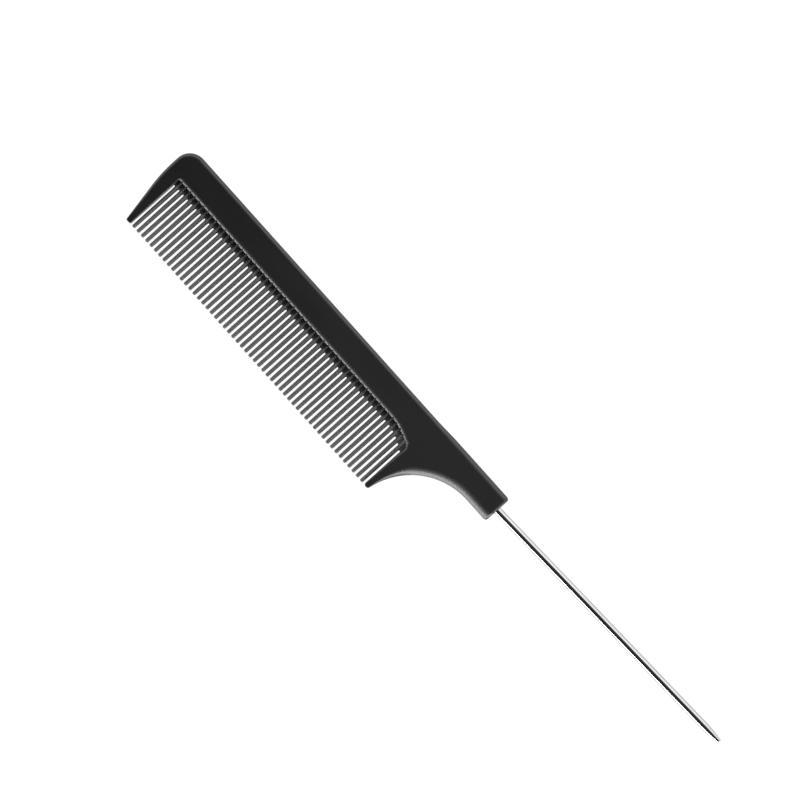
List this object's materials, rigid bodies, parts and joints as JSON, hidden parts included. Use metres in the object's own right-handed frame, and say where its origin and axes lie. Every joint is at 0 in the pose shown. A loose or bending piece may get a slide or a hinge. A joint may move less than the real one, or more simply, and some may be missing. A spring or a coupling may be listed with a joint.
{
  "type": "rat tail comb",
  "caption": "Fine-tooth comb with a straight spine, a guard tooth at each end, a curved finger rest behind the teeth and a thin steel tail pin with a blunt tip for parting hair.",
  "frame": {"origin": "middle of the object's box, on the face that it rests on", "axes": "+X from the head to the tip of the tail pin, +Y towards the back edge with the teeth pointing to -Y, +Z out of the upper face"},
  "size_m": [0.225, 0.0278, 0.0042],
  "materials": {
    "moulding": "satin black carbon-filled plastic with a fine moulded grain",
    "pin_steel": "polished steel wire with faint drawing lines"
  },
  "bodies": {
    "root": {"spine": "moulding", "front_guard": "moulding", "fine_teeth": "moulding", "rear_guard": "moulding", "shank": "moulding", "tail_pin": "pin_steel"}
  },
  "joints": []
}
